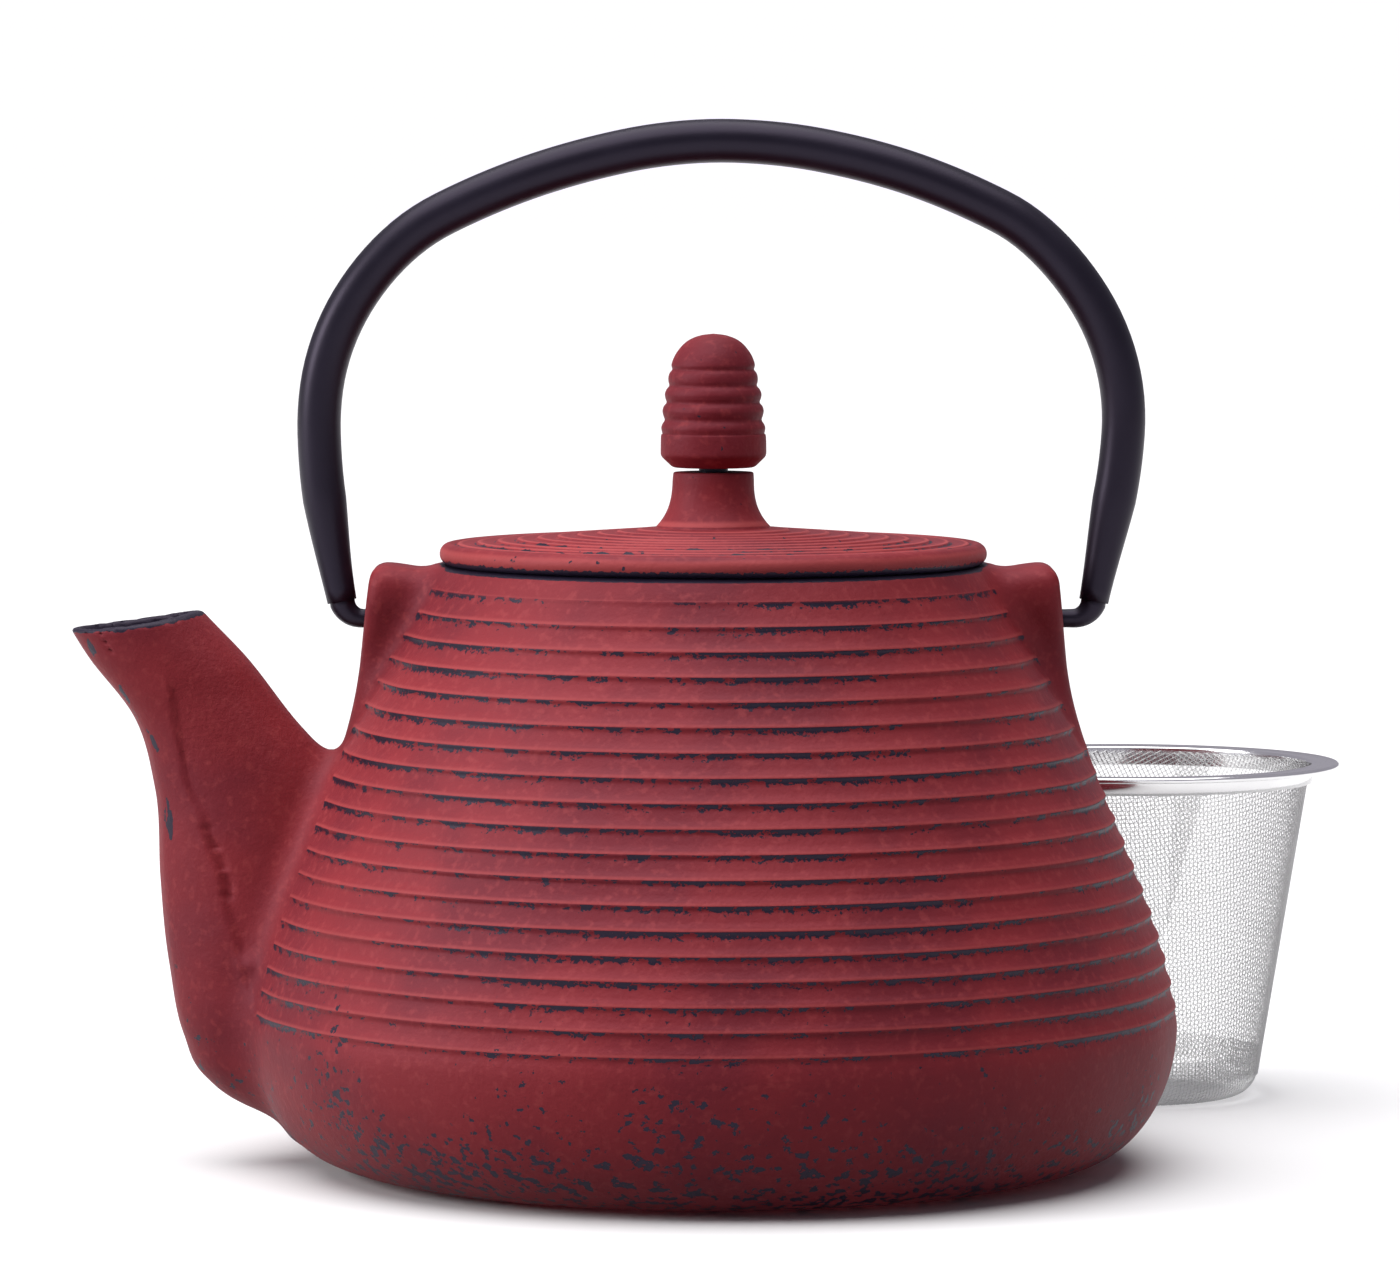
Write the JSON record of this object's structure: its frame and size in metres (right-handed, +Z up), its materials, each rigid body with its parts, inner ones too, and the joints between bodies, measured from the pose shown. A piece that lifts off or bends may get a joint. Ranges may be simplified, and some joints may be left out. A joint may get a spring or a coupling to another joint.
{
  "type": "teapot",
  "caption": "Ridged cast-iron teapot with a cast spout, bail handle, lid with a turning knob, and a woven-wire infuser basket beside it.",
  "frame": {"origin": "centre of the flat foot, on the surface that the pot stands on", "axes": "+Z up along the pot's axis; the spout points to -X; the bail's pivot axis is along X; the infuser stands at +X and +Y"},
  "size_m": [0.236, 0.2221, 0.1869],
  "materials": {
    "red_enamel": "matt brick-red paint, worn to black enamel on edges that face down",
    "black_steel": "satin black",
    "steel": "polished stainless",
    "steel_mesh": "woven stainless wire, bright"
  },
  "bodies": {
    "pot": {"pot_body": "red_enamel"},
    "lid": {"lid": "red_enamel"},
    "knob": {"knob": "red_enamel", "knob_stud": "black_steel", "knob_washer": "steel", "knob_nut": "steel"},
    "handle": {"handle_tube": "black_steel", "hook_left": "black_steel", "hook_right": "black_steel"},
    "infuser": {"infuser_rim": "steel", "infuser_wall": "steel_mesh", "infuser_base": "steel_mesh"}
  },
  "joints": [
    {"name": "handle_swing", "type": "hinge", "parent": "pot", "child": "handle", "pos_m": [0, 0, 0.0981], "axis": [1, 0, 0], "range_deg": [-114, 114]},
    {"name": "lid_lift", "type": "slide", "parent": "pot", "child": "lid", "axis": [0, 0, 1], "range_m": [0, 0.026]},
    {"name": "knob_spin", "type": "hinge", "parent": "lid", "child": "knob", "pos_m": [0, 0, 0.125], "axis": [0, 0, 1], "continuous": true},
    {"name": "infuser_lift", "type": "slide", "parent": "pot", "child": "infuser", "axis": [0, 0, 1], "range_m": [0, 0.07]}
  ]
}
